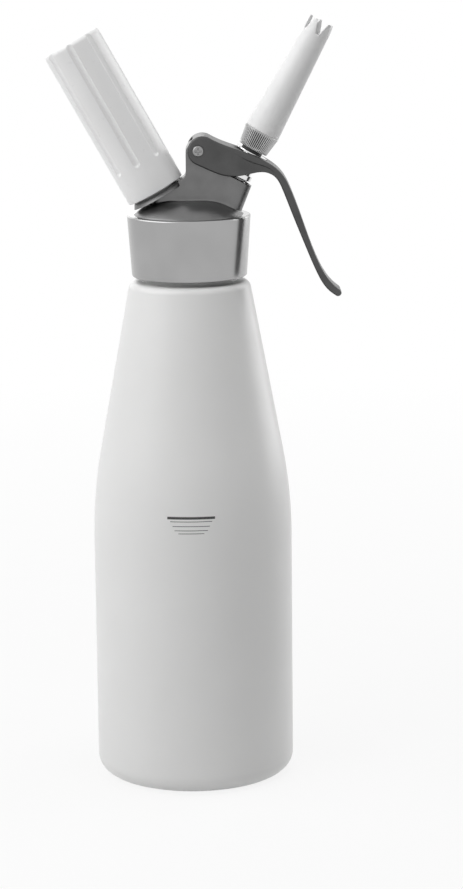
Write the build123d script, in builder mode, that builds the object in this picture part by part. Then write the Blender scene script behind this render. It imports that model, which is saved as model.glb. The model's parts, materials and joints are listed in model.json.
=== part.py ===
from build123d import *
import os
from math import atan, cos, radians, sin, tan

# Whipped cream dispenser. Millimetres, +Z up, origin at the centre of the bottle's base.
# +X points to the decorating tip and the lever, -X to the charger holder.

# ---------------------------------------------------------------- bottle
bottle_radius = 50.0
bottle_wall = 1.0
base_corner = 9.0
shoulder_start = 145.0  # height where the straight wall and the cone would meet
shoulder_blend = 235.0
shoulder_top = 252.5
shoulder_radius = 29.9
shoulder_corner = 4.0
neck_thread_radius = 24.4
neck_thread_depth = 0.8
neck_wall = 2.0
neck_height = 24.5

# ---------------------------------------------------------------- head gasket, skirt and collar
thread_clearance = 0.3
nested_clearance = 0.05  # between pieces that are pressed or screwed together
seat_gap = 0.1  # along the axis, between a gasket and the piece that turns on it
gasket_thickness = 2.5
gasket_width = 3.4
deck_thickness = 6.0
skirt_wall = 2.3
skirt_recess = 1.2
collar_gap = 2.3
collar_low_wall = 1.55
collar_high_wall = 3.65
collar_low_corner = 1.2
collar_high_corner = 0.8

# ---------------------------------------------------------------- head casting
deck_dome = 7.4
deck_flat_radius = 10.0
trunk_left = -17.3
trunk_corner = 3.2
tower_root_round = 3.0
tower_inset = 0.05  # of the tower's sides inside the valve boss's
tower_eye_radius = 6.1
tower_eye_drop = 1.4
tower_pad_radius = 4.6
tower_pad_gap = 0.3
tower_saddle = 3.0
boss_wall = 1.1
boss_foot = 17.6

# ---------------------------------------------------------------- lever and its pivot
# The lever's outline is given from the pivot, along X and Z.
pivot_x = 4.9
pivot_height = 32.2  # above the collar's top, as are the valve's and the holder's heights
cheek_clearance = 0.4
lever_cheek = 2.7
lever_web = 2.0
lever_eye = (2.15, -0.1)
lever_eye_radius = 7.35
lever_eye_low = -117.0  # degrees where the eye's arc begins and ends
lever_eye_high = 65.0
lever_edge_round = 1.1
cheek_taper = 4.0  # degrees, in plan
cheek_crease = [(15.6, -0.5), (20.6, -2.7), (24.5, -4.9), (28.3, -6.4), (34.0, -8.4), (39.5, -16.5)]
upper_edge = [(13.9, 2.5), (24.0, -1.1), (33.4, -5.5), (41.4, -11.9), (46.1, -20.7)]
upper_handle = [(52.5, -38.2), (59.6, -56.7), (63.7, -63.9), (69.7, -69.9)]
lower_edge = [(6.1, -10.0), (13.3, -12.5), (20.1, -12.6), (26.6, -11.4), (32.3, -10.9), (37.3, -13.0)]
lower_handle = [(41.3, -19.5), (46.0, -31.6), (53.0, -49.0), (58.5, -61.8), (61.9, -67.7), (67.3, -72.6)]
handle_tip = (70.4, -71.9)
handle_half_width = 8.6
narrowing_start = 31.0
narrowing_end = 47.0
screw_radius = 2.0
screw_head_radius = 2.8
screw_head_height = 1.7
screw_head_round = 1.0
screw_clearance = 0.1
sleeve_wall = 0.85
sleeve_clearance = 0.06
nut_across_flats = 6.4
nut_height = 2.6
recess_width = 0.8
recess_length = 3.4
recess_depth = 1.0

# ---------------------------------------------------------------- valve, along its own tilted axis
# Stations are measured from the valve boss's top face, positive outwards.
valve_tilt = 29.0
valve_x = 24.15
valve_height = 17.7
stem_radius = 3.75
stem_bore = 2.2
stem_tail_radius = 2.6
stem_top = 24.0
cross_hole_radius = 1.5
cross_hole_station = -18.0
counterbore_clearance = 0.4
counterbore_depth = 2.3
spring_pocket_radius = 5.6
spring_pocket_floor = -8.0
spring_wire_radius = 0.45
spring_clearance = 0.4
spring_turns = 5.0
spring_gap = 0.05
guide_length = 6.0
guide_step = 0.1
oring_section = 0.53
oring_groove = 1.3
oring_depths = (1.8, 4.2)  # below the spring pocket's floor
seat_lip_top = -20.5
seat_station = -22.5
seat_lip_radius = 4.6
seat_chamber_radius = 6.4
valve_seal_radius = 5.7
valve_seal_thickness = 2.0
valve_nut_radius = 4.6
valve_nut_height = 3.0
push_bottom = 1.2
push_flange_radius = 6.6
push_flange_thickness = 2.4
push_waist_radius = 5.4
push_head_radius = 7.0
push_head_thickness = 1.6
web_underside = 10.6
web_rest_gap = 0.25
web_face = 12.3
web_face_clearance = 0.9
web_face_shift = 0.6  # towards the pivot, because the lever swings outwards past the stem
web_hole_clearance = 1.35
pocket_clearance = 0.9

# ---------------------------------------------------------------- decorating tip, on the valve axis
adapter_bottom = 16.3
adapter_height = 9.7
adapter_low_radius = 7.5
adapter_high_radius = 9.1
adapter_edge = 0.5
washer_radius = 8.6
washer_thickness = 0.5
tip_gasket_radius = 5.4
tip_gasket_thickness = 1.5
tip_socket_wall = 1.5
tip_socket_depth = 4.0
tip_end = 87.6
tip_step = 0.2
tip_end_radius = 6.4
tip_wall = 1.3
tooth_count = 5
tooth_depth = 7.0
tooth_gap = 5.8
tooth_root = 1.6
tooth_first = 4.0  # degrees about the valve axis from the front

# ---------------------------------------------------------------- charger side, along its own tilted axis
# Stations are measured from the holder's open rim, positive outwards.
holder_tilt = 29.0
holder_x = -16.3
holder_height = 12.2
holder_radius = 15.0
holder_length = 85.0
holder_dome = 1.0
holder_edge = 2.6
holder_rim_edge = 0.4
flute_count = 8
flute_first = -3.5  # degrees about the holder's axis from the front
flute_radius = 2.2
flute_floor = 14.2
flute_start = 17.0
mouth_radius = 11.5
mouth_depth = 14.5
stub_height = 12.5
flange_inset = 1.0
flange_gap = 1.0
flange_thickness = 2.3
flange_taper = 1.4
inlet_face = -1.2  # the casting's slope right of the flange
spigot_radius = 6.0
spigot_length = 5.5
charger_radius = 9.0
charger_length = 65.5
charger_neck_radius = 4.3
charger_neck_length = 8.5
charger_shoulder = 9.0
charger_wall = 2.0
charger_end_round = 7.2
charger_clearance = 0.4
charger_tip = 9.5
charger_end_gap = 0.3
seal_thickness = 2.4
seal_radius = 4.9
seal_bore = 2.0
pin_radius = 1.2
pin_bore = 0.6
pin_reach = 1.6
pin_point = 2.2
pin_clearance = 0.3
pin_holder_radius = 3.2
gas_bore_radius = 1.2
check_pocket_top = -18.0
check_valve_radius = 4.2
check_valve_thickness = 2.0
check_nut_height = 3.5
check_nut_slot = 1.2

# ---------------------------------------------------------------- derived places
neck_rim = shoulder_top + neck_height
neck_core = neck_thread_radius - neck_thread_depth
neck_bore = neck_core - neck_wall
deck_underside = neck_rim + gasket_thickness
skirt_bore = neck_thread_radius + thread_clearance
skirt_radius = skirt_bore + skirt_wall
collar_bore = skirt_radius + nested_clearance
collar_bottom = shoulder_top + collar_gap
collar_top = deck_underside + deck_thickness
cone_angle = atan((bottle_radius - shoulder_radius) / (shoulder_top - shoulder_start))
pivot_z = collar_top + pivot_height
valve_z = collar_top + valve_height
holder_z = collar_top + holder_height
counterbore_radius = push_flange_radius + counterbore_clearance
boss_radius = counterbore_radius + boss_wall
tower_half_width = boss_radius - tower_inset
cheek_inner = boss_radius + cheek_clearance
lever_half_width = cheek_inner + lever_cheek
sleeve_radius = screw_radius + nested_clearance + sleeve_wall
spring_mean_radius = spring_pocket_radius - spring_clearance - spring_wire_radius
spring_length = push_bottom - spring_pocket_floor - 2 * spring_gap
guide_radius = spring_pocket_radius - guide_step
push_top = web_underside - web_rest_gap
holder_bore = charger_radius + charger_clearance
stub_radius = mouth_radius - thread_clearance
flange_radius = holder_radius - flange_inset

valve_out = Vector(sin(radians(valve_tilt)), 0, cos(radians(valve_tilt)))
valve_across = Vector(cos(radians(valve_tilt)), 0, -sin(radians(valve_tilt)))
valve_origin = Vector(valve_x, 0, valve_z)
valve_section = Plane(origin=valve_origin, x_dir=valve_across, z_dir=(0, -1, 0))
valve_plane = Plane(origin=valve_origin, x_dir=valve_across, z_dir=valve_out)
valve_axis = Axis(valve_origin, valve_out)

holder_out = Vector(-sin(radians(holder_tilt)), 0, cos(radians(holder_tilt)))
holder_across = Vector(cos(radians(holder_tilt)), 0, sin(radians(holder_tilt)))
holder_origin = Vector(holder_x, 0, holder_z)
holder_section = Plane(origin=holder_origin, x_dir=holder_across, z_dir=(0, -1, 0))
holder_plane = Plane(origin=holder_origin, x_dir=holder_across, z_dir=holder_out)
holder_axis = Axis(holder_origin, holder_out)

pivot_front = Plane(origin=(pivot_x, 0, pivot_z), x_dir=(1, 0, 0), z_dir=(0, -1, 0))


def on_valve(station, across=0.0):
    """The point of the XZ plane at a station along the valve axis and a distance across it."""
    point = valve_origin + valve_out * station + valve_across * across
    return (point.X, point.Z)


def on_holder(station, across=0.0):
    """The point of the XZ plane at a station along the holder's axis and a distance across it."""
    point = holder_origin + holder_out * station + holder_across * across
    return (point.X, point.Z)


def turned(section, axis, *profile):
    """A turned piece: a closed profile of (radius, station) points, revolved about the axis."""
    with BuildPart() as piece:
        with BuildSketch(section):
            with BuildLine():
                Polyline(*profile, close=True)
            make_face()
        revolve(axis=axis)
    return piece.part


def ring(section, axis, inner, outer, low, high):
    """A plain turned ring or, with no inner radius, a disc."""
    return turned(section, axis, (inner, low), (outer, low), (outer, high), (inner, high))


def save(piece, name):
    """Labels a finished piece and writes it."""
    piece.label = name
    export_step(piece, f"parts/{name}.step")


os.makedirs("parts", exist_ok=True)

# ---------------------------------------------------------------- bottle
wall_across_cone = bottle_wall / cos(cone_angle)
inner_top = shoulder_top - bottle_wall
inner_top_radius = shoulder_radius + bottle_wall * tan(cone_angle) - wall_across_cone
inner_start = shoulder_start - (wall_across_cone - bottle_wall) / tan(cone_angle)
inner_corner = shoulder_corner - bottle_wall

with BuildPart() as bottle:
    with BuildSketch(Plane.XZ):
        with BuildLine():
            FilletPolyline(
                (0, 0),
                (bottle_radius, 0),
                (bottle_radius, shoulder_start),
                (shoulder_radius, shoulder_top),
                (neck_core, shoulder_top),
                radius=[base_corner, shoulder_blend, shoulder_corner],
            )
            Polyline(
                (neck_core, shoulder_top),
                (neck_core, neck_rim),
                (neck_bore, neck_rim),
                (neck_bore, inner_top),
            )
            FilletPolyline(
                (neck_bore, inner_top),
                (inner_top_radius, inner_top),
                (bottle_radius - bottle_wall, inner_start),
                (bottle_radius - bottle_wall, bottle_wall),
                (0, bottle_wall),
                radius=[inner_corner, shoulder_blend - bottle_wall, base_corner - bottle_wall],
            )
            Line((0, bottle_wall), (0, 0))
        make_face()
    revolve(axis=Axis.Z)
save(bottle.part, "bottle")

# ---------------------------------------------------------------- head gasket
gasket_radius = neck_thread_radius - nested_clearance
gasket_bore = gasket_radius - gasket_width
gasket_top = deck_underside - seat_gap
save(ring(Plane.XZ, Axis.Z, gasket_bore, gasket_radius, neck_rim, gasket_top), "head_gasket")

# ---------------------------------------------------------------- collar
with BuildPart() as collar:
    with BuildSketch(Plane.XZ):
        with BuildLine():
            FilletPolyline(
                (collar_bore, collar_bottom),
                (collar_bore + collar_low_wall, collar_bottom),
                (collar_bore + collar_high_wall, collar_top),
                (collar_bore, collar_top),
                radius=[collar_low_corner, collar_high_corner],
            )
            Line((collar_bore, collar_top), (collar_bore, collar_bottom))
        make_face()
    revolve(axis=Axis.Z)
save(collar.part, "collar")

# ---------------------------------------------------------------- head casting
flange_seat = -flange_gap - flange_thickness
tower_eye_z = pivot_z - tower_eye_drop
tower_left = pivot_x - tower_eye_radius
tower_right = pivot_x + tower_eye_radius
trunk_length = 2 * (valve_x - trunk_left)
boss_shoulder = on_valve(0, -boss_radius)


def on_inlet_face(x):
    """The point of the casting's slope at a given X."""
    return on_holder(inlet_face, (x - on_holder(inlet_face)[0]) / holder_across.X)


# trunk and tower that carry the holder and the lever, with rounded ends in plan
with BuildPart() as tower:
    with BuildSketch(Plane.XZ):
        with BuildLine():
            slope = FilletPolyline(
                on_inlet_face(trunk_left),
                on_inlet_face(tower_left),
                (tower_left, tower_eye_z),
                radius=tower_root_round,
            )
            Polyline(
                slope @ 1,
                (tower_right, tower_eye_z),
                (tower_right, boss_shoulder[1] + tower_saddle),
                boss_shoulder,
                on_valve(0),
                (boss_foot, collar_top),
                (trunk_left, collar_top),
                slope @ 0,
            )
        make_face()
        with Locations((pivot_x, tower_eye_z)):
            Circle(tower_eye_radius)
    extrude(amount=tower_half_width, both=True)
    with BuildSketch(Plane.XY):
        with Locations((trunk_left + trunk_length / 2, 0)):
            RectangleRounded(trunk_length, 2 * tower_half_width, trunk_corner)
    extrude(amount=2 * pivot_z, mode=Mode.INTERSECT)

with BuildPart() as head_casting:
    # domed deck and inner skirt
    with BuildSketch(Plane.XZ):
        with BuildLine():
            Polyline(
                (0, deck_underside),
                (skirt_bore, deck_underside),
                (skirt_bore, collar_bottom + skirt_recess),
                (skirt_radius, collar_bottom + skirt_recess),
                (skirt_radius, collar_top),
            )
            TangentArc(
                (deck_flat_radius, collar_top + deck_dome),
                (skirt_radius, collar_top),
                tangent=(1, 0),
            )
            Polyline(
                (deck_flat_radius, collar_top + deck_dome),
                (0, collar_top + deck_dome),
                (0, deck_underside),
            )
        make_face()
    revolve(axis=Axis.Z)
    # valve boss, leaning back into the deck
    with BuildSketch(valve_plane):
        Circle(boss_radius)
    with BuildSketch(Plane.XY.offset(collar_top)):
        with Locations((boss_foot, 0)):
            Circle(boss_radius)
    loft()
    add(tower.part)
    with BuildSketch(pivot_front):
        Circle(tower_pad_radius)
    extrude(amount=cheek_inner - tower_pad_gap, both=True)
    # flat seat for the inlet fitting's flange
    with BuildSketch(holder_plane.offset(flange_seat)):
        Circle(flange_radius + thread_clearance)
    extrude(amount=stub_height, mode=Mode.SUBTRACT)
    # pivot bore
    with BuildSketch(pivot_front):
        Circle(sleeve_radius + sleeve_clearance)
    extrude(amount=lever_half_width, both=True, mode=Mode.SUBTRACT)
    # valve passage: counterbore, spring pocket, guide bore, cream chamber, seat lip, lower chamber
    with BuildSketch(valve_section):
        with BuildLine():
            Polyline(
                (0, web_underside),
                (counterbore_radius, web_underside),
                (counterbore_radius, -counterbore_depth),
                (spring_pocket_radius, -counterbore_depth),
                (spring_pocket_radius, spring_pocket_floor),
                (guide_radius + nested_clearance, spring_pocket_floor),
                (guide_radius + nested_clearance, seat_lip_top),
                (seat_lip_radius, seat_lip_top),
                (seat_lip_radius, seat_station),
                (seat_chamber_radius, seat_station),
                (seat_chamber_radius, 2 * seat_station),
                (0, 2 * seat_station),
                close=True,
            )
        make_face()
    revolve(axis=valve_axis, mode=Mode.SUBTRACT)
    # gas passage: spigot bore, gas bore, check valve pocket
    with BuildSketch(holder_section):
        with BuildLine():
            Polyline(
                (0, flange_seat),
                (spigot_radius + nested_clearance, flange_seat),
                (spigot_radius + nested_clearance, flange_seat - spigot_length),
                (gas_bore_radius, flange_seat - spigot_length),
                (gas_bore_radius, check_pocket_top),
                (check_valve_radius + thread_clearance, check_pocket_top),
                (check_valve_radius + thread_clearance, 2 * check_pocket_top),
                (0, 2 * check_pocket_top),
                close=True,
            )
        make_face()
    revolve(axis=holder_axis, mode=Mode.SUBTRACT)
save(head_casting.part, "head_casting")

# ---------------------------------------------------------------- inlet fitting: flange, stub, spigot
seal_floor = charger_tip - seal_thickness
neck_pocket_radius = seal_radius + nested_clearance
spigot_end = flange_seat - spigot_length
inlet_fitting = turned(
    holder_section,
    holder_axis,
    (pin_holder_radius + nested_clearance, spigot_end),
    (spigot_radius, spigot_end),
    (spigot_radius, flange_seat),
    (flange_radius, flange_seat),
    (flange_radius - flange_taper, -flange_gap),
    (stub_radius, -flange_gap),
    (stub_radius, stub_height),
    (neck_pocket_radius, stub_height),
    (neck_pocket_radius, seal_floor),
    (pin_holder_radius + nested_clearance, seal_floor),
)
save(inlet_fitting, "inlet_fitting")

# ---------------------------------------------------------------- piercing pin, holder, charger seal
pin_fit = pin_radius + nested_clearance
save(
    ring(holder_section, holder_axis, pin_fit, pin_holder_radius, spigot_end, seal_floor),
    "pin_holder",
)
piercing_pin = turned(
    holder_section,
    holder_axis,
    (pin_bore, spigot_end),
    (pin_radius, spigot_end),
    (pin_radius, charger_tip + pin_reach - pin_point),
    (pin_bore + nested_clearance, charger_tip + pin_reach),
    (pin_bore, charger_tip + pin_reach),
)
save(piercing_pin, "piercing_pin")
save(
    ring(holder_section, holder_axis, seal_bore, seal_radius, seal_floor, charger_tip),
    "charger_seal",
)

# ---------------------------------------------------------------- check valve under the deck and its nut
check_seal_low = check_pocket_top - check_valve_thickness
save(
    ring(holder_section, holder_axis, gas_bore_radius, check_valve_radius, check_seal_low, check_pocket_top),
    "inlet_check_valve",
)
with BuildPart() as check_valve_nut:
    with BuildSketch(holder_plane.offset(check_seal_low)):
        Circle(check_valve_radius)
        Circle(gas_bore_radius, mode=Mode.SUBTRACT)
    extrude(amount=-check_nut_height)
    with BuildSketch(holder_plane.offset(check_seal_low - check_nut_height)):
        Rectangle(check_nut_slot, 2 * check_valve_radius)
    extrude(amount=check_nut_slot, mode=Mode.SUBTRACT)
save(check_valve_nut.part, "check_valve_nut")

# ---------------------------------------------------------------- charger: a pierced steel gas capsule
capsule_end = charger_tip + charger_length
neck_end = charger_tip + charger_neck_length
shoulder_end = neck_end + charger_shoulder
pierced_radius = pin_radius + pin_clearance
with BuildPart() as charger:
    with BuildSketch(holder_section):
        with BuildLine():
            FilletPolyline(
                (pierced_radius, charger_tip),
                (charger_neck_radius, charger_tip),
                (charger_neck_radius, neck_end),
                (charger_radius, shoulder_end),
                (charger_radius, capsule_end),
                (0, capsule_end),
                radius=[pin_clearance, charger_wall, charger_shoulder, charger_end_round],
            )
            Line((0, capsule_end), (0, capsule_end - charger_wall))
            FilletPolyline(
                (0, capsule_end - charger_wall),
                (charger_radius - charger_wall, capsule_end - charger_wall),
                (charger_radius - charger_wall, shoulder_end),
                (pierced_radius, neck_end),
                (pierced_radius, charger_tip),
                radius=[charger_end_round - charger_wall, charger_shoulder, charger_wall],
            )
        make_face()
    revolve(axis=holder_axis)
save(charger.part, "charger")

# ---------------------------------------------------------------- charger holder: fluted cap
with BuildPart() as charger_holder:
    with BuildSketch(holder_section):
        with BuildLine():
            FilletPolyline(
                (mouth_radius, 0),
                (holder_radius, 0),
                (holder_radius, holder_length - holder_dome),
                (0, holder_length),
                radius=[holder_rim_edge, holder_edge],
            )
            Polyline(
                (0, holder_length),
                (0, capsule_end + charger_end_gap),
                (holder_bore, capsule_end + charger_end_gap),
                (holder_bore, mouth_depth),
                (mouth_radius, mouth_depth),
                (mouth_radius, 0),
            )
        make_face()
    revolve(axis=holder_axis)
    with Locations(holder_plane.offset(flute_start).location):
        with PolarLocations(flute_floor + flute_radius, flute_count, flute_first - 90):
            Cylinder(
                flute_radius,
                holder_length,
                align=(Align.CENTER, Align.CENTER, Align.MIN),
                mode=Mode.SUBTRACT,
            )
            Sphere(flute_radius, mode=Mode.SUBTRACT)
save(charger_holder.part, "charger_holder")

# ---------------------------------------------------------------- lever
lever_left = pivot_x - 2 * lever_eye_radius
web_low = pivot_z + lever_eye[1] + lever_eye_radius - lever_web
pocket_across = push_head_radius + pocket_clearance


def from_pivot(point):
    """A point of the XZ plane given from the pivot."""
    return (pivot_x + point[0], pivot_z + point[1])


def on_eye(angle):
    """The point of the lever's rounded end at an angle in degrees."""
    reach = (lever_eye_radius * cos(radians(angle)), lever_eye_radius * sin(radians(angle)))
    return from_pivot((lever_eye[0] + reach[0], lever_eye[1] + reach[1]))


eye_bottom = on_eye(lever_eye_low)
eye_top = on_eye(lever_eye_high)
upper_line = [from_pivot(point) for point in upper_edge + upper_handle]
lower_line = [from_pivot(point) for point in lower_edge + lower_handle]
narrowing = [(pivot_x + narrowing_start, lever_half_width), (pivot_x + narrowing_end, handle_half_width)]
lever_right = pivot_x + 2 * narrowing_end

crease = [from_pivot(point) for point in cheek_crease]
lean_start, lean_end = crease[0][0], crease[-1][0]
lean_depth = (lean_end - lean_start) * tan(radians(cheek_taper))
with BuildPart() as cheek_lean:
    with BuildSketch(Plane.XZ):
        with BuildLine():
            Spline(*crease)
            Polyline(crease[-1], (lean_start, crease[-1][1]), crease[0])
        make_face()
    extrude(amount=2 * lever_half_width, both=True)
    with BuildSketch(Plane.XY):
        with BuildLine():
            Polyline(
                (lean_start, lever_half_width),
                (lean_end, lever_half_width - lean_depth),
                (lean_end, 2 * lever_half_width),
                (lean_start, 2 * lever_half_width),
                close=True,
            )
        make_face()
        mirror(about=Plane.XZ)
    extrude(amount=2 * pivot_z, mode=Mode.INTERSECT)

with BuildPart() as lever:
    with BuildSketch(Plane.XZ):
        with BuildLine():
            ThreePointArc(eye_bottom, on_eye(180), eye_top)
            Spline(eye_top, *upper_line)
            ThreePointArc(upper_line[-1], from_pivot(handle_tip), lower_line[-1])
            Spline(eye_bottom, *lower_line)
        make_face()
    extrude(amount=lever_half_width, both=True)
    # seen from above, the lever narrows towards the handle
    with BuildSketch(Plane.XY):
        with BuildLine():
            Polyline(
                (lever_left, 0),
                (lever_left, lever_half_width),
                *narrowing,
                (lever_right, handle_half_width),
                (lever_right, 0),
                close=True,
            )
        make_face()
        mirror(about=Plane.XZ)
    extrude(amount=2 * pivot_z, mode=Mode.INTERSECT)
    fillet(lever.edges(), lever_edge_round)
    # below a crease, the cheeks lean in towards the handle
    add(cheek_lean.part, mode=Mode.SUBTRACT)
    # channel between the cheeks, under the web
    with BuildSketch(Plane.XZ):
        with BuildLine():
            Polyline(
                (lever_left, web_low),
                (pivot_x + lever_eye_radius / 2, web_low),
                on_valve(web_underside, -pocket_across),
                on_valve(web_underside, pocket_across),
                on_valve(-web_underside, pocket_across),
                (lever_left, pivot_z - 2 * lever_eye_radius),
                close=True,
            )
        make_face()
    extrude(amount=cheek_inner, both=True, mode=Mode.SUBTRACT)
    # stem hole and the spot face round it
    with BuildSketch(valve_plane):
        Circle(stem_radius + web_hole_clearance)
    extrude(amount=adapter_bottom, mode=Mode.SUBTRACT)
    with BuildSketch(valve_plane.offset(web_face)):
        with Locations((-web_face_shift, 0)):
            Circle(washer_radius + web_face_clearance)
    extrude(amount=adapter_height, mode=Mode.SUBTRACT)
    # pivot bores
    with BuildSketch(pivot_front):
        Circle(screw_radius + screw_clearance)
    extrude(amount=2 * lever_half_width, both=True, mode=Mode.SUBTRACT)
save(lever.part, "lever")

# ---------------------------------------------------------------- pivot screw, sleeve and nut
with BuildPart() as pivot_screw:
    with BuildSketch(pivot_front):
        Circle(screw_radius)
    extrude(amount=lever_half_width + nut_height / 2, both=True)
    with BuildSketch(pivot_front.offset(lever_half_width)):
        Circle(screw_head_radius)
    extrude(amount=screw_head_height)
    fillet(pivot_screw.faces().sort_by(Axis.Y)[0].edges(), screw_head_round)
    with BuildSketch(pivot_front.offset(lever_half_width + screw_head_height)):
        Rectangle(recess_length, recess_width)
        Rectangle(recess_width, recess_length)
    extrude(amount=-recess_depth, mode=Mode.SUBTRACT)
save(pivot_screw.part, "pivot_screw")

with BuildPart() as pivot_sleeve:
    with BuildSketch(pivot_front):
        Circle(sleeve_radius)
        Circle(screw_radius + nested_clearance, mode=Mode.SUBTRACT)
    extrude(amount=cheek_inner - nested_clearance, both=True)
save(pivot_sleeve.part, "pivot_sleeve")

with BuildPart() as pivot_nut:
    with BuildSketch(pivot_front.offset(-lever_half_width)):
        RegularPolygon(nut_across_flats / 2, 6, major_radius=False)
        Circle(screw_radius + nested_clearance, mode=Mode.SUBTRACT)
    extrude(amount=-nut_height)
save(pivot_nut.part, "pivot_nut")

# ---------------------------------------------------------------- valve stem: cross holes above the seat
stem_end = seat_station - valve_seal_thickness - valve_nut_height
with BuildPart() as valve_stem:
    with BuildSketch(valve_plane.offset(seat_station)):
        Circle(stem_radius)
    extrude(amount=stem_top - seat_station)
    with BuildSketch(valve_plane.offset(stem_end)):
        Circle(stem_tail_radius)
    extrude(amount=seat_station - stem_end)
    with BuildSketch(valve_plane.offset(seat_lip_top)):
        Circle(stem_bore)
    extrude(amount=stem_top - seat_lip_top, mode=Mode.SUBTRACT)
    with BuildSketch(Plane(origin=valve_plane.offset(cross_hole_station).origin, z_dir=(0, 1, 0))):
        Circle(cross_hole_radius)
    extrude(amount=2 * stem_radius, both=True, mode=Mode.SUBTRACT)
save(valve_stem.part, "valve_stem")

# ---------------------------------------------------------------- push collar that the lever presses
push_collar = turned(
    valve_section,
    valve_axis,
    (stem_radius + nested_clearance, push_bottom),
    (push_flange_radius, push_bottom),
    (push_flange_radius, push_bottom + push_flange_thickness),
    (push_waist_radius, push_bottom + push_flange_thickness),
    (push_waist_radius, push_top - push_head_thickness),
    (push_head_radius, push_top - push_head_thickness),
    (push_head_radius, push_top),
    (stem_radius + nested_clearance, push_top),
)
save(push_collar, "push_collar")

# ---------------------------------------------------------------- stem guide and its two o-rings
guide_low = spring_pocket_floor - guide_length
groove_radius = stem_radius + nested_clearance + 2 * oring_section
groove_stations = [spring_pocket_floor - depth for depth in oring_depths]
with BuildPart() as stem_guide:
    with BuildSketch(valve_plane.offset(guide_low)):
        Circle(guide_radius)
        Circle(stem_radius + nested_clearance, mode=Mode.SUBTRACT)
    extrude(amount=guide_length)
    for station in groove_stations:
        with BuildSketch(valve_plane.offset(station - oring_groove / 2)):
            Circle(groove_radius + nested_clearance)
        extrude(amount=oring_groove, mode=Mode.SUBTRACT)
save(stem_guide.part, "stem_guide")

with BuildPart() as stem_o_rings:
    for station in groove_stations:
        with BuildSketch(valve_section):
            with Locations((groove_radius - oring_section, station)):
                Circle(oring_section)
        revolve(axis=valve_axis)
save(stem_o_rings.part, "stem_o_rings")

# ---------------------------------------------------------------- valve seal and nut below the seat
seal_low = seat_station - valve_seal_thickness
tail_fit = stem_tail_radius + nested_clearance
save(ring(valve_section, valve_axis, tail_fit, valve_seal_radius, seal_low, seat_station), "valve_seal")
with BuildPart() as valve_nut:
    with BuildSketch(valve_plane.offset(stem_end)):
        RegularPolygon(valve_nut_radius, 6)
        Circle(tail_fit, mode=Mode.SUBTRACT)
    extrude(amount=valve_nut_height)
save(valve_nut.part, "valve_nut")

# ---------------------------------------------------------------- valve spring
spring_pitch = (spring_length - 2 * spring_wire_radius) / spring_turns
spring_start = valve_plane.offset(spring_pocket_floor + spring_gap + spring_wire_radius).origin
with BuildPart() as valve_spring:
    with BuildLine():
        coil = Helix(
            spring_pitch,
            spring_pitch * spring_turns,
            spring_mean_radius,
            center=spring_start,
            direction=valve_out,
        )
    with BuildSketch(Plane(origin=coil @ 0, z_dir=coil % 0)):
        Circle(spring_wire_radius)
    sweep(path=coil, is_frenet=True)
save(valve_spring.part, "valve_spring")

# ---------------------------------------------------------------- tip gasket and the stem washer under it
stem_fit = stem_radius + nested_clearance
gasket_low = adapter_bottom - tip_gasket_thickness
washer_low = gasket_low - washer_thickness
gasket_high = adapter_bottom - seat_gap
save(ring(valve_section, valve_axis, stem_fit, tip_gasket_radius, gasket_low, gasket_high), "tip_gasket")
save(ring(valve_section, valve_axis, stem_fit, washer_radius, washer_low, gasket_low), "stem_washer")

# ---------------------------------------------------------------- tip adapter: ring that carries the tip
adapter_top = adapter_bottom + adapter_height
socket_floor = adapter_top - tip_socket_depth
tip_socket_radius = adapter_high_radius - tip_socket_wall
with BuildPart() as tip_adapter:
    with BuildSketch(valve_section):
        with BuildLine():
            FilletPolyline(
                (stem_radius + thread_clearance, adapter_bottom),
                (adapter_low_radius, adapter_bottom),
                (adapter_high_radius, adapter_top),
                (tip_socket_radius, adapter_top),
                radius=[adapter_edge, adapter_edge],
            )
            Polyline(
                (tip_socket_radius, adapter_top),
                (tip_socket_radius, socket_floor),
                (stem_radius + thread_clearance, socket_floor),
                (stem_radius + thread_clearance, adapter_bottom),
            )
        make_face()
    revolve(axis=valve_axis)
save(tip_adapter.part, "tip_adapter")

# ---------------------------------------------------------------- star tip: tapered, with a toothed end
plug_radius = tip_socket_radius - nested_clearance
tip_low_radius = adapter_high_radius - tip_step
with BuildPart() as tooth_notch:
    with BuildSketch(Plane.XZ):
        with BuildLine():
            Polyline(
                (-tooth_gap / 2, tip_wall),
                (-tooth_gap / 2, 0),
                (-tooth_root / 2, -tooth_depth),
                (tooth_root / 2, -tooth_depth),
                (tooth_gap / 2, 0),
                (tooth_gap / 2, tip_wall),
                close=True,
            )
        make_face()
    extrude(amount=2 * tip_end_radius)

with BuildPart() as star_tip:
    with BuildSketch(valve_section):
        with BuildLine():
            Polyline(
                (plug_radius - tip_wall, socket_floor),
                (plug_radius, socket_floor),
                (plug_radius, adapter_top),
                (tip_low_radius, adapter_top),
                (tip_end_radius, tip_end),
                (tip_end_radius - tip_wall, tip_end),
                (tip_low_radius - 2 * tip_wall, adapter_top),
                close=True,
            )
        make_face()
    revolve(axis=valve_axis)
    with Locations(valve_plane.offset(tip_end).location):
        with PolarLocations(0, tooth_count, tooth_first):
            add(tooth_notch.part, mode=Mode.SUBTRACT)
save(star_tip.part, "star_tip")
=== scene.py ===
"""Looks of the whipped cream dispenser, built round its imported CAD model."""
import json
from math import atan2, cos, pi, radians, sin, sqrt, tan

import bmesh
import bpy
from mathutils import Matrix, Vector
from mathutils.bvhtree import BVHTree


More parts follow.
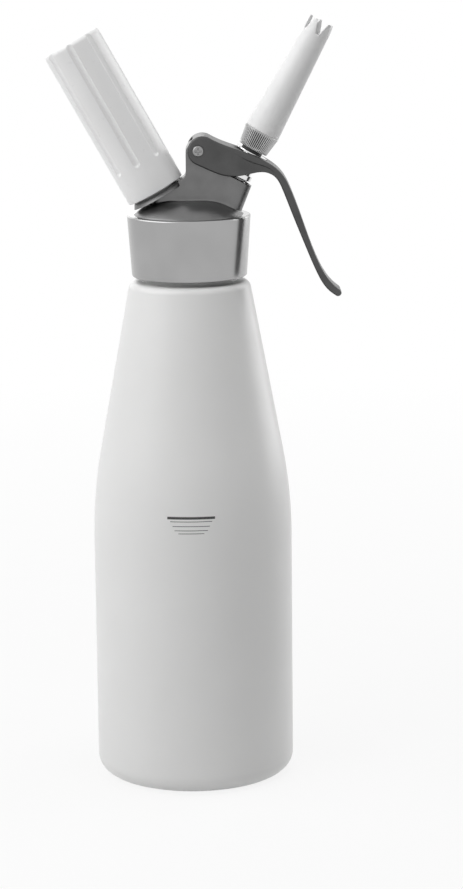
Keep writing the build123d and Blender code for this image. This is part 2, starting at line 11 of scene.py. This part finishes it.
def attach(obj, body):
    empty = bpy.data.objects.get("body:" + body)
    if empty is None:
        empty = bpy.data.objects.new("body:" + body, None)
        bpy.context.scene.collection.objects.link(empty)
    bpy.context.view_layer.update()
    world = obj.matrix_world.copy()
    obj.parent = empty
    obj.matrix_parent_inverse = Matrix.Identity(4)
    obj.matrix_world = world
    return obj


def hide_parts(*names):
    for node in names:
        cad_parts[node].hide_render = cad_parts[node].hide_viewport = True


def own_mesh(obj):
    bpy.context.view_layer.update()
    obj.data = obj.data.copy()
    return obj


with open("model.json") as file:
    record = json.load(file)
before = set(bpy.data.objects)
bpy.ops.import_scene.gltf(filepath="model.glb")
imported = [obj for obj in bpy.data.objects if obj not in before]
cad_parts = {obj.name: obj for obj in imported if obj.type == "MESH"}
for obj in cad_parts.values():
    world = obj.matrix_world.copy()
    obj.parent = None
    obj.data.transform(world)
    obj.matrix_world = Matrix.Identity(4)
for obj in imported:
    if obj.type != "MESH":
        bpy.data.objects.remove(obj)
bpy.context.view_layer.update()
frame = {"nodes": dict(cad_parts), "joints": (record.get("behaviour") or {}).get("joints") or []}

# Pieces are modelled in millimetres, in a local frame whose Z is their own axis, and placed in metres.
MM = 0.001

nodes = frame["nodes"]
joints = {joint["name"]: joint for joint in frame["joints"]}


# ---------------------------------------------------------------- places
def place(origin, axis):
    """The local frame on an axis in the XZ plane: Z along the axis, Y as in the row frame."""
    z = Vector(axis).normalized()
    y = Vector((0, 1, 0))
    x = y.cross(z)
    turn = Matrix((x, y, z)).transposed().to_4x4()
    return Matrix.Translation(origin) @ turn @ Matrix.Scale(MM, 4)


BOTTLE = place((0, 0, 0), (0, 0, 1))
HOLDER = place(joints["holder_turn"]["pos_m"], joints["holder_turn"]["axis"])
TIP_STATION = 16.3  # the tip adapter's foot, counted from the valve boss's top face
tip_axis = Vector(joints["tip_turn"]["axis"])
VALVE = place(Vector(joints["tip_turn"]["pos_m"]) - tip_axis * TIP_STATION * MM, tip_axis)


def span(node, local):
    """A CAD node's lowest and highest station and its largest radius about a local Z, in millimetres."""
    inverse = local.inverted()
    points = [inverse @ vertex.co for vertex in nodes[node].data.vertices]
    stations = [point.z for point in points]
    return min(stations), max(stations), max(point.xy.length for point in points)


# ---------------------------------------------------------------- mesh making
ON_AXIS = 1e-6


def mesh_object(name, points, faces, local, body, sharp=35):
    """A smooth-shaded mesh object that rides on a body."""
    mesh = bpy.data.meshes.new(name)
    mesh.from_pydata([tuple(point) for point in points], [], faces)
    mesh.transform(local)
    solid = bmesh.new()
    solid.from_mesh(mesh)
    bmesh.ops.recalc_face_normals(solid, faces=solid.faces)
    solid.to_mesh(mesh)
    solid.free()
    mesh.shade_smooth()
    mesh.set_sharp_from_angle(angle=radians(sharp))
    piece = bpy.data.objects.new(name, mesh)
    bpy.context.scene.collection.objects.link(piece)
    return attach(piece, body)


def even_angles(count):
    """Angles evenly spaced round a full turn."""
    return [2 * pi * k / count for k in range(count)]


def spin(name, profile, local, body, angles, shape=None, closed=False):
    """A turned mesh: (radius, station) points spun about the local Z. shape(radius, station, angle)
    changes the radius from place to place, and points on the axis become poles."""
    points, rings, faces = [], [], []
    for radius, station in profile:
        start = len(points)
        if radius < ON_AXIS:
            points.append((0, 0, station))
        else:
            for angle in angles:
                reach = shape(radius, station, angle) if shape else radius
                points.append((reach * cos(angle), reach * sin(angle), station))
        rings.append(range(start, len(points)))
    pairs = list(zip(rings, rings[1:]))
    if closed:
        pairs.append((rings[-1], rings[0]))
    count = len(angles)
    for low, high in pairs:
        for k in range(count):
            j = (k + 1) % count
            if len(low) == 1:
                faces.append((low[0], high[j], high[k]))
            elif len(high) == 1:
                faces.append((low[k], low[j], high[0]))
            else:
                faces.append((low[k], low[j], high[j], high[k]))
    return mesh_object(name, points, faces, local, body)


def rounded(points, radii, steps=5):
    """The open outline through the points, with an arc of the given radius at each inner corner."""
    outline = [points[0]]
    for before, corner, after, radius in zip(points, points[1:], points[2:], radii):
        back = (Vector(before) - Vector(corner)).normalized()
        on = (Vector(after) - Vector(corner)).normalized()
        half = back.angle(on) / 2
        if radius < ON_AXIS:
            outline.append(corner)
            continue
        centre = Vector(corner) + (back + on).normalized() * radius / sin(half)
        start = Vector(corner) + back * radius / tan(half) - centre
        end = Vector(corner) + on * radius / tan(half) - centre
        sweep = start.angle_signed(end)
        for step in range(steps + 1):
            turn = -sweep * step / steps
            outline.append(
                (
                    centre.x + start.x * cos(turn) - start.y * sin(turn),
                    centre.y + start.x * sin(turn) + start.y * cos(turn),
                )
            )
    outline.append(points[-1])
    return outline


def filled(start, end, count):
    """Values evenly spaced from start to end, both included."""
    return [start + (end - start) * k / (count - 1) for k in range(count)]


# ---------------------------------------------------------------- materials
def add_node(tree, kind, inputs=None, **settings):
    """A shader node of a kind, with its settings, and its inputs given as values or as outputs to link."""
    node = tree.nodes.new("ShaderNode" + kind)
    for setting, value in settings.items():
        setattr(node, setting, value)
    for socket, value in (inputs or {}).items():
        if isinstance(value, bpy.types.NodeSocket):
            tree.links.new(value, node.inputs[socket])
        else:
            node.inputs[socket].default_value = value
    return node


class Finish:
    """A procedural material under construction: a Principled shader and the nodes that vary it."""

    def __init__(self, name, **settings):
        self.material = bpy.data.materials.new(name)
        self.material.use_nodes = True
        self.tree = self.material.node_tree
        self.shader = self.tree.nodes["Principled BSDF"]
        for socket, value in settings.items():
            self.shader.inputs[socket.replace("_", " ")].default_value = value

    def add(self, kind, inputs=None, **settings):
        """A node of this material's."""
        return add_node(self.tree, kind, inputs, **settings)

    def coordinates(self, local=None):
        """Coordinates fixed to the piece, in metres, along a local frame if one is given."""
        vector = self.add("TexCoord").outputs["Object"]
        if local is None:
            return vector
        where, turn, _ = local.decompose()
        mapping = self.add("Mapping", {"Vector": vector}, vector_type="TEXTURE")
        mapping.inputs["Location"].default_value = where
        mapping.inputs["Rotation"].default_value = turn.to_euler()
        return mapping.outputs["Vector"]

    def noise(self, vector, size, detail=2.0, roughness=0.5):
        """Noise with features of about the given size, in metres."""
        inputs = {"Vector": vector, "Scale": 1 / size, "Detail": detail, "Roughness": roughness}
        return self.add("TexNoise", inputs).outputs["Fac"]

    def rings(self, vector, size, detail=3.0):
        """Noise that varies along the local Z only, as fine turning marks do."""
        height = self.add("SeparateXYZ", {"Vector": vector}).outputs["Z"]
        scaled = self.add("Math", {0: height, 1: 1 / size}, operation="MULTIPLY").outputs[0]
        inputs = {"W": scaled, "Scale": 1.0, "Detail": detail}
        return self.add("TexNoise", inputs, noise_dimensions="1D").outputs["Fac"]

    def lines(self, vector, along, across, detail=3.0):
        """Noise drawn out along the local Z, as brushing or drawing marks are."""
        stretch = (1 / across, 1 / across, 1 / along)
        scaled = self.add("VectorMath", {0: vector, 1: stretch}, operation="MULTIPLY").outputs[0]
        return self.add("TexNoise", {"Vector": scaled, "Scale": 1.0, "Detail": detail}).outputs["Fac"]

    def between(self, factor, low, high):
        """Maps the middle of a noise's range onto low to high."""
        inputs = {"Value": factor, "From Min": 0.3, "From Max": 0.7, "To Min": low, "To Max": high}
        return self.add("MapRange", inputs).outputs["Result"]

    def tint(self, factor, dark, light):
        """Grey or coloured paint that drifts from dark to light with the factor."""
        ramp = self.add("ValToRGB", {"Fac": factor})
        ramp.color_ramp.elements[0].position = 0.3
        ramp.color_ramp.elements[0].color = (*dark, 1)
        ramp.color_ramp.elements[1].position = 0.7
        ramp.color_ramp.elements[1].color = (*light, 1)
        self.tree.links.new(ramp.outputs["Color"], self.shader.inputs["Base Color"])

    def gloss(self, factor, low, high):
        """Roughness that drifts from low to high with the factor."""
        self.tree.links.new(self.between(factor, low, high), self.shader.inputs["Roughness"])

    def relief(self, *layers):
        """Bump from (height, depth in metres) layers, each on top of the last."""
        normal = None
        for height, depth in layers:
            inputs = {"Height": height, "Distance": depth, "Strength": 1.0}
            if normal is not None:
                inputs["Normal"] = normal
            normal = self.add("Bump", inputs).outputs["Normal"]
        self.tree.links.new(normal, self.shader.inputs["Normal"])


def grey(level):
    """A neutral colour."""
    return (level, level, level)


def enamel():
    """White lacquer, with the faint waviness of sprayed paint."""
    finish = Finish("white_enamel", Coat_Weight=0.2, Coat_Roughness=0.18, IOR=1.5)
    where = finish.coordinates()
    drift = finish.noise(where, 0.05)
    finish.tint(drift, (0.78, 0.78, 0.775), (0.8, 0.8, 0.795))
    finish.gloss(finish.noise(where, 0.012, detail=4), 0.34, 0.42)
    finish.relief((finish.noise(where, 0.0022, detail=1), 0.000004))
    return finish.material


def turned_metal(name, local, level, rough, mark=0.0003, depth=0.0000012, anisotropic=0.5):
    """Lathe-turned metal: fine rings about the local Z, with a slow drift in tone."""
    finish = Finish(name, Metallic=1.0, Anisotropic=anisotropic)
    where = finish.coordinates(local)
    marks = finish.rings(where, mark)
    finish.tint(finish.noise(where, 0.02), grey(level * 0.96), grey(level * 1.04))
    finish.gloss(marks, rough * 0.85, rough * 1.15)
    finish.relief((marks, depth))
    return finish.material


def cast_metal(name, dark, light, rough, grain=0.0006, depth=0.000012):
    """Blasted casting with a satin surface."""
    finish = Finish(name, Metallic=0.9)
    where = finish.coordinates()
    finish.tint(finish.noise(where, 0.009, detail=4), grey(dark), grey(light))
    finish.gloss(finish.noise(where, 0.004, detail=5), rough * 0.88, rough * 1.12)
    finish.relief(
        (finish.noise(where, 0.006, detail=2), depth * 2),
        (finish.noise(where, grain, detail=2), depth),
    )
    return finish.material


def bright_metal(name="bright_steel", level=0.77, rough=0.15):
    """Polished steel with faint hairline scratches."""
    finish = Finish(name, Metallic=1.0)
    where = finish.coordinates()
    scratches = finish.lines(where, 0.004, 0.0002)
    finish.tint(finish.noise(where, 0.003), grey(level * 0.96), grey(level * 1.04))
    finish.gloss(scratches, rough * 0.67, rough * 1.33)
    finish.relief((scratches, 0.0000006))
    return finish.material


def brass():
    """Machined brass."""
    finish = Finish("brass", Metallic=1.0)
    where = finish.coordinates()
    finish.tint(finish.noise(where, 0.002, detail=3), (0.62, 0.44, 0.19), (0.74, 0.54, 0.25))
    finish.gloss(finish.noise(where, 0.0008, detail=4), 0.22, 0.36)
    finish.relief((finish.noise(where, 0.0005), 0.000002))
    return finish.material


def moulded(name, level, rough, grain=0.0007):
    """Moulded white plastic with a fine satin grain."""
    finish = Finish(name, IOR=1.49)
    where = finish.coordinates()
    finish.tint(finish.noise(where, 0.02, detail=2), grey(level * 0.985), grey(level * 1.01))
    finish.gloss(finish.noise(where, 0.003, detail=4), rough * 0.9, rough * 1.12)
    finish.relief(
        (finish.noise(where, 0.012), 0.00003),
        (finish.noise(where, grain, detail=2), 0.000003),
    )
    return finish.material


def rubber(name, level):
    """Moulded rubber."""
    finish = Finish(name, IOR=1.5)
    where = finish.coordinates()
    finish.tint(finish.noise(where, 0.002, detail=3), grey(level * 0.8), grey(level * 1.25))
    finish.gloss(finish.noise(where, 0.001, detail=3), 0.5, 0.66)
    finish.relief((finish.noise(where, 0.0004, detail=2), 0.000012))
    return finish.material


def ink():
    """Dark screen-printed ink, a little uneven."""
    finish = Finish("print_ink", IOR=1.5)
    where = finish.coordinates()
    finish.tint(finish.noise(where, 0.0006, detail=3), grey(0.03), grey(0.06))
    finish.gloss(finish.noise(where, 0.001, detail=2), 0.35, 0.5)
    finish.relief((finish.noise(where, 0.0003), 0.000003))
    return finish.material


ENAMEL = enamel()
COLLAR_STEEL = turned_metal("brushed_band", BOTTLE, 0.38, 0.19, depth=0.0000005)
CAST = cast_metal("cast_alloy", 0.16, 0.19, 0.36)
LEVER_ALLOY = cast_metal("lever_alloy", 0.075, 0.095, 0.36)
BRIGHT = bright_metal()
SCREW_STEEL = bright_metal("screw_steel", 0.3, 0.3)
BRASS = brass()
FITTING_STEEL = turned_metal("turned_steel", HOLDER, 0.62, 0.26)
STEM_STEEL = turned_metal("stem_steel", VALVE, 0.62, 0.24)
CHARGER_STEEL = turned_metal("charger_steel", HOLDER, 0.55, 0.22, mark=0.0008)
KNURL_STEEL = turned_metal("knurled_steel", VALVE, 0.45, 0.34)
# A darker copy of the knurled steel: painted shade for the knurl's grooves.
GROOVE_SHADE_STEEL = turned_metal("groove_painted_shade", VALVE, 0.12, 0.45)
SPRING_STEEL = turned_metal("spring_steel", VALVE, 0.5, 0.25, mark=0.0001)
HOLDER_PLASTIC = moulded("white_plastic", 0.87, 0.3)
TIP_PLASTIC = moulded("tip_plastic", 0.82, 0.42)
GUIDE_PLASTIC = moulded("guide_plastic", 0.78, 0.5)
BLACK_RUBBER = rubber("black_rubber", 0.018)
GREY_SEAL = rubber("grey_seal", 0.22)
INK = ink()

node_finish = {
    "bottle": ENAMEL,
    "head_gasket": GREY_SEAL,
    "collar": COLLAR_STEEL,
    "head_casting": CAST,
    "inlet_fitting": CAST,
    "pin_holder": BRASS,
    "piercing_pin": BRIGHT,
    "charger_seal": BLACK_RUBBER,
    "inlet_check_valve": GREY_SEAL,
    "check_valve_nut": BRASS,
    "stem_guide": GUIDE_PLASTIC,
    "stem_o_rings": BLACK_RUBBER,
    "charger": CHARGER_STEEL,
    "lever": LEVER_ALLOY,
    "pivot_screw": SCREW_STEEL,
    "pivot_sleeve": BRASS,
    "pivot_nut": BRIGHT,
    "valve_stem": STEM_STEEL,
    "push_collar": BRIGHT,
    "stem_washer": BRIGHT,
    "valve_seal": GREY_SEAL,
    "valve_nut": BRASS,
    "tip_gasket": BLACK_RUBBER,
    "star_tip": TIP_PLASTIC,
}
for node, finish in node_finish.items():
    nodes[node].data.materials.clear()
    nodes[node].data.materials.append(finish)


def dress(piece, finish):
    """Gives a new piece its material."""
    piece.data.materials.append(finish)
    return piece


# ---------------------------------------------------------------- softened castings and mouldings
def soften(node, voxel, passes):
    """Rounds a CAD node's edges as casting or moulding does: a fine remesh, then smoothing."""
    skin = nodes[node].modifiers.new("skin", "REMESH")
    skin.mode = "VOXEL"
    skin.voxel_size = voxel * MM
    skin.use_smooth_shade = True
    edges = nodes[node].modifiers.new("edges", "SMOOTH")
    edges.factor = 0.5
    edges.iterations = passes


soften("head_casting", 0.35, 6)
soften("lever", 0.3, 5)
soften("star_tip", 0.22, 4)
soften("push_collar", 0.12, 3)
soften("pivot_screw", 0.1, 2)
soften("pivot_nut", 0.1, 3)

# ---------------------------------------------------------------- charger holder with grooves
flute_count = 8
flute_first = radians(-3.5 - 90)  # the front is at -90 degrees
flute_radius = 2.2
flute_floor = 14.2
flute_start = 17.0
flute_blend = 0.2  # rounding of the grooves' edges
holder_edge = 2.6
holder_dome = 1.0
rim_edge = 0.4
mouth_radius = 11.5
mouth_depth = 14.5
bore_radius = 9.4
bore_end = 75.3
# where the shell has its vertices: degrees from a groove's middle, closest together at its edge
flute_offsets = (0, 1, 2, 3, 4, 4.7, 5.3, 5.8, 6.2, 6.6, 7.1, 8, 10, 13, 16.5, 20)
rings_from, flute_end_from, flute_end_to = 9.5, 14.4, 0.5  # stations, the last past flute_start
top_margin, top_edge = 6, 5  # below the holder's end


def soft_minimum(first, second, blend):
    """The smaller of two values, rounded where they cross."""
    gap = max(blend - abs(first - second), 0) / blend
    return min(first, second) - gap * gap * blend / 4


def fluted(radius, station, angle):
    """The holder's outside radius, with its grooves."""
    if radius <= flute_floor or station <= 0:
        return radius
    pitch = 2 * pi / flute_count
    offset = (angle - flute_first + pitch / 2) % pitch - pitch / 2
    ball = flute_radius**2 - max(flute_start - station, 0) ** 2
    centre = flute_floor + flute_radius
    inside = ball - (centre * sin(offset)) ** 2
    if inside <= 0:
        return radius
    return soft_minimum(radius, centre * cos(offset) - sqrt(inside), flute_blend)


def fluted_holder():
    """The charger holder, as one closed turned shell with grooves along its outside."""
    _, length, radius = span("charger_holder", HOLDER)
    inside = [(0, bore_end), (bore_radius, bore_end), (bore_radius, mouth_depth)]
    inside += [(mouth_radius, mouth_depth), (mouth_radius, rim_edge), (mouth_radius + rim_edge, 0)]
    rim = rounded([(mouth_radius + rim_edge, 0), (radius, 0), (radius, flute_start / 2)], [rim_edge])
    stations = filled(rings_from, 14, 4)
    stations += filled(flute_end_from, flute_start + flute_end_to, 14)
    stations += filled(flute_start + 2, length - top_margin, 14)
    wall = [(radius, station) for station in stations]
    top = rounded(
        [(radius, length - top_edge), (radius, length - holder_dome), (0, length)], [holder_edge], steps=10
    )
    profile = inside + rim[1:-1] + wall + top
    angles = []
    for flute in range(flute_count):
        middle = flute_first + 2 * pi * flute / flute_count
        offsets = [-offset for offset in reversed(flute_offsets)] + list(flute_offsets[1:])
        angles += [middle + radians(offset) for offset in offsets]
    return spin("fluted_holder", profile, HOLDER, "holder", angles, shape=fluted)


holder = dress(fluted_holder(), HOLDER_PLASTIC)
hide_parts("charger_holder")

# ---------------------------------------------------------------- knurled tip adapter
knurl_count = 52
knurl_depth = 0.5
knurl_crest = 0.34  # share of the pitch that stays at full radius
knurl_margin = 0.7
knurl_runout = 0.5
adapter_bore = 4.05
adapter_socket = 7.6
adapter_socket_depth = 4.0
adapter_edge = 0.5
samples_per_knurl = 6
adapter_narrow = 7.5
groove_shade_inner = 7.2  # faces closer to the axis get no painted groove shade
groove_shade_reach = 9  # past the adapter's foot, where the grooves' painted shade ends


def knurled_adapter():
    """The threaded ring that carries the tip, with fine grooves along its cone."""
    _, high, outer = span("tip_adapter", VALVE)
    low = TIP_STATION
    cone = rounded(
        [(adapter_bore, low), (adapter_narrow, low), (outer, high), (adapter_socket, high)],
        [adapter_edge, adapter_edge * 0.6],
    )
    start = next(k for k, point in enumerate(cone) if point[1] > low + adapter_edge * 0.9)
    lower, upper = cone[:start], cone[start:]
    foot, crown = lower[-1], upper[0]
    wall = list(zip(filled(foot[0], crown[0], 14), filled(foot[1], crown[1], 14)))[1:-1]
    floor = high - adapter_socket_depth
    bore = [(adapter_socket, floor), (adapter_bore, floor)]
    first, last = low + knurl_margin, high - knurl_margin * 0.6

    def knurl(radius, station, angle):
        fade = min(station - first, last - station) / knurl_runout
        if radius < adapter_narrow - adapter_edge or fade <= 0:
            return radius
        phase = (angle * knurl_count / (2 * pi)) % 1
        valley = max(1 - abs(2 * phase - 1) / (1 - knurl_crest), 0)
        return radius - knurl_depth * min(fade, 1) * valley

    profile = lower + wall + upper + bore
    angles = even_angles(knurl_count * samples_per_knurl)
    return spin("knurled_adapter", profile, VALVE, "tip", angles, shape=knurl, closed=True)


def in_groove(centre):
    """Whether a face's middle lies in a knurl's groove, which gets painted shade."""
    phase = (atan2(centre.y, centre.x) * knurl_count / (2 * pi)) % 1
    return knurl_crest < phase < 1 - knurl_crest


adapter = dress(knurled_adapter(), KNURL_STEEL)
adapter.data.materials.append(GROOVE_SHADE_STEEL)
# Faces in the knurl's grooves get the darker steel copy as painted shade.
to_ring = VALVE.inverted()
for face in adapter.data.polygons:
    centre = to_ring @ face.center
    along = centre.z - TIP_STATION
    if centre.xy.length > groove_shade_inner and knurl_margin < along < groove_shade_reach:
        face.material_index = int(in_groove(centre))
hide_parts("tip_adapter")


# ---------------------------------------------------------------- threads and the valve spring
def coil_tube(name, local, body, radius, low, high, turns, section, ends_flat=0.0, steps=40):
    """A section of (outward, along) points swept round a helix about the local Z. The ends taper to nothing
    over ends_flat turns, or stay whole."""
    count = int(turns * steps) + 1
    points, faces = [], []
    for k in range(count):
        turn = k / steps
        angle = 2 * pi * turn
        height = low + (high - low) * turn / turns
        whole = 1.0
        if ends_flat:
            whole = min(turn / ends_flat, (turns - turn) / ends_flat, 1)
        for outward, along in section:
            reach = radius + (outward - section[0][0]) * whole + section[0][0]
            points.append((reach * cos(angle), reach * sin(angle), height + along))
    size = len(section)
    for k in range(count - 1):
        for j in range(size):
            i = (j + 1) % size
            faces.append((k * size + j, k * size + i, (k + 1) * size + i, (k + 1) * size + j))
    faces.append(tuple(range(size)))
    faces.append(tuple(range((count - 1) * size, count * size)))
    return mesh_object(name, points, faces, local, body)


def thread(name, local, body, core, crest, low, high, pitch, share=0.55):
    """A screw thread: a trapezoid ridge round a shaft, faded out at both ends."""
    height = crest - core
    base, top = pitch * share / 2, pitch * share / 4
    section = [(-thread_root, -base), (height, -top), (height, top), (-thread_root, base)]
    return coil_tube(name, local, body, core, low, high, (high - low) / pitch, section, ends_flat=0.3)


thread_root = 0.1  # how far a ridge reaches into its shaft
neck_low, neck_high, neck_pitch = 257.5, 275.2, 4.0
neck_core, neck_crest = 23.6, 24.4
stub_low, stub_high, stub_pitch = 1.4, 11.6, 1.5
stub_core, stub_crest = 11.2, 11.42
stem_low, stem_high, stem_pitch = 17.2, 22.4, 1.0  # the top stays below the gasket of a lifted tip
stem_core, stem_crest = 3.75, 3.98
fine_share = 0.7  # of the pitch, under the fine threads' ridges
neck = (neck_core, neck_crest, neck_low, neck_high, neck_pitch)
stub = (stub_core, stub_crest, stub_low, stub_high, stub_pitch)
stem = (stem_core, stem_crest, stem_low, stem_high, stem_pitch)
dress(thread("neck_thread", BOTTLE, "bottle", *neck), ENAMEL)
dress(thread("stub_thread", HOLDER, "head", *stub, share=fine_share), FITTING_STEEL)
dress(thread("stem_thread", VALVE, "valve", *stem, share=fine_share), STEM_STEEL)

spring_mean = 4.75
spring_wire = 0.45
spring_low, spring_high = -7.5, 0.7
spring_turns = 5.0


def valve_spring():
    """The coil under the push collar."""
    section = [(spring_wire * cos(a), spring_wire * sin(a)) for a in even_angles(12)]
    return coil_tube(
        "coil_spring", VALVE, "head", spring_mean, spring_low, spring_high, spring_turns, section
    )


spring = dress(valve_spring(), SPRING_STEEL)
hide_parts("valve_spring")
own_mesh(spring)

# ---------------------------------------------------------------- fill mark printed on the bottle
print_thickness = 0.05
print_lift = 0.02
bottle_radius = 50.0
ray_reach = 0.2  # metres from the axis, outside the bottle
mark_centre = -0.9
mark_lines = [  # height, half length, width of each printed line
    (142.0, 12.0, 1.25),
    (140.2, 10.5, 0.3),
    (137.9, 9.3, 0.3),
    (135.8, 8.3, 0.3),
    (134.3, 6.4, 0.3),
]
bottle_tree = BVHTree.FromPolygons(
    [vertex.co for vertex in nodes["bottle"].data.vertices],
    [polygon.vertices for polygon in nodes["bottle"].data.polygons],
)


def on_bottle(across, height, lift):
    """The point of the bottle's front at a distance across it and a height, lifted off the surface."""
    angle = across / bottle_radius - pi / 2
    outward = Vector((cos(angle), sin(angle), 0))
    start = outward * ray_reach + Vector((0, 0, height * MM))
    hit = bottle_tree.ray_cast(start, -outward)[0]
    return (hit + outward * lift * MM) / MM


def printed(name, outline_pairs):
    """A thin printed strip on the bottle, between pairs of (across, low height, high height)."""
    points, faces = [], []
    for across, low, high in outline_pairs:
        for height in (low, high):
            for lift in (print_lift - print_thickness, print_lift):
                points.append(on_bottle(across, height, lift))
    for k in range(len(outline_pairs) - 1):
        a, b = 4 * k, 4 * k + 4
        faces += [(a + 1, a + 3, b + 3, b + 1), (a, b, b + 2, a + 2)]
        faces += [(a, a + 1, b + 1, b), (a + 2, b + 2, b + 3, a + 3)]
    end = 4 * (len(outline_pairs) - 1)
    faces += [(0, 2, 3, 1), (end, end + 1, end + 3, end + 2)]
    return mesh_object(name, points, faces, Matrix.Scale(MM, 4), "bottle")


for number, (height, half, width) in enumerate(mark_lines, start=1):
    reach = filled(mark_centre - half, mark_centre + half, 25)
    strip = [(across, height - width / 2, height + width / 2) for across in reach]
    dress(printed(f"fill_line_{number}", strip), INK)

# ---------------------------------------------------------------- background
def background_seen(tree):
    """1 on the rays that show the background: from the camera, off mirrors and through glass."""
    path = add_node(tree, "LightPath").outputs
    direct = {0: path["Is Camera Ray"], 1: path["Is Glossy Ray"]}
    mirrored = add_node(tree, "Math", direct, operation="MAXIMUM").outputs[0]
    inputs = {0: mirrored, 1: path["Is Transmission Ray"]}
    return add_node(tree, "Math", inputs, operation="MAXIMUM").outputs[0]


# ---------------------------------------------------------------- floor
floor_half = 20.0
floor_white = 0.86  # share of plain white in what shows by the object; the rest is its shadow
shadow_near, shadow_far = 0.25, 1.1  # metres from the object between which the floor turns plain white


def pale_floor():
    """A pale floor that shows white, in mirrors too, apart from the object's soft shadow."""
    finish = Finish("pale_floor", Roughness=0.6)
    where = finish.coordinates()
    finish.tint(finish.noise(where, 0.4), grey(0.7), grey(0.72))
    finish.gloss(finish.noise(where, 0.05), 0.55, 0.65)
    white = finish.add("Emission", {"Color": (1, 1, 1, 1), "Strength": 1.0})
    reach = finish.add("VectorMath", {0: where}, operation="LENGTH").outputs["Value"]
    inputs = {"Value": reach, "From Min": shadow_near, "From Max": shadow_far, "To Min": floor_white}
    whiteness = finish.add("MapRange", inputs).outputs["Result"]
    seen = finish.add("Math", {0: background_seen(finish.tree), 1: whiteness}, operation="MULTIPLY")
    diffuse = finish.shader.outputs[0]
    shown = finish.add("MixShader", {0: seen.outputs[0], 1: diffuse, 2: white.outputs[0]})
    finish.tree.links.new(shown.outputs[0], finish.tree.nodes["Material Output"].inputs["Surface"])
    return finish.material


corners = [(-floor_half, -floor_half), (floor_half, -floor_half), (floor_half, floor_half)]
corners.append((-floor_half, floor_half))
floor_mesh = bpy.data.meshes.new("floor")
floor_mesh.from_pydata([(x, y, 0) for x, y in corners], [], [(0, 1, 2, 3)])
floor_mesh.materials.append(pale_floor())
floor = bpy.data.objects.new("floor", floor_mesh)
bpy.context.scene.collection.objects.link(floor)

# ---------------------------------------------------------------- studio light
aim = Vector((0, 0, 0.2))
ambient_level = 0.09


def softbox(name, azimuth, height, distance, width, tall, power):
    """A soft area lamp that faces the object. Azimuth 0 is the camera's side, positive towards +X."""
    lamp = bpy.data.lights.new(name, "AREA")
    lamp.shape = "RECTANGLE"
    lamp.size = width
    lamp.size_y = tall
    lamp.energy = power
    box = bpy.data.objects.new(name, lamp)
    turn = radians(azimuth)
    box.location = (distance * sin(turn), -distance * cos(turn), height)
    box.rotation_euler = (aim - box.location).to_track_quat("-Z", "Y").to_euler()
    bpy.context.scene.collection.objects.link(box)
    return box


softbox("key_left", -78, 1.3, 1.4, 2.2, 1.6, 20)
softbox("front_left", -35, 1.35, 1.2, 0.9, 1.2, 7).visible_glossy = False
softbox("top_right", 75, 2.2, 0.5, 1.1, 1.1, 18).visible_glossy = False
softbox("back_right", 125, 0.5, 1.6, 1.2, 1.5, 10)
softbox("back", -160, 0.9, 1.6, 1.4, 1.4, 4)


def studio_world():
    """White to the camera, in mirrors and through glass, and even ambient light."""
    world = bpy.data.worlds.new("studio")
    world.use_nodes = True
    tree = world.node_tree
    tree.nodes.clear()
    white = add_node(tree, "Background", {"Color": (1, 1, 1, 1), "Strength": 1.0})
    ambient = add_node(tree, "Background", {"Color": (1, 1, 1, 1), "Strength": ambient_level})
    inputs = {0: background_seen(tree), 1: ambient.outputs[0], 2: white.outputs[0]}
    shown = add_node(tree, "MixShader", inputs)
    add_node(tree, "OutputWorld", {"Surface": shown.outputs[0]})
    return world


bpy.context.scene.world = studio_world()
bpy.context.scene.view_settings.view_transform = "Standard"

# ---------------------------------------------------------------- camera, fitted to the photograph's view
frame_height_px = 889
focal_px = 2875.4
sensor = 36.0
camera_place = Vector((0, -1.42, 0.46))
pitch, yaw, roll = radians(11.598), radians(0.805), radians(-0.614)


def photo_camera():
    """The camera at the photograph's viewing angle."""
    forward = Vector((sin(yaw) * cos(pitch), cos(yaw) * cos(pitch), -sin(pitch)))
    level = Vector((cos(yaw), -sin(yaw), 0))
    above = level.cross(forward)
    right = level * cos(roll) + above * sin(roll)
    up = above * cos(roll) - level * sin(roll)
    lens = bpy.data.cameras.new("photo_camera")
    lens.sensor_fit = "VERTICAL"
    lens.sensor_height = sensor
    lens.lens = focal_px / frame_height_px * sensor
    camera = bpy.data.objects.new("photo_camera", lens)
    turn = Matrix((right, up, -forward)).transposed().to_4x4()
    camera.matrix_world = Matrix.Translation(camera_place) @ turn
    bpy.context.scene.collection.objects.link(camera)
    return camera


bpy.context.scene.camera = photo_camera()
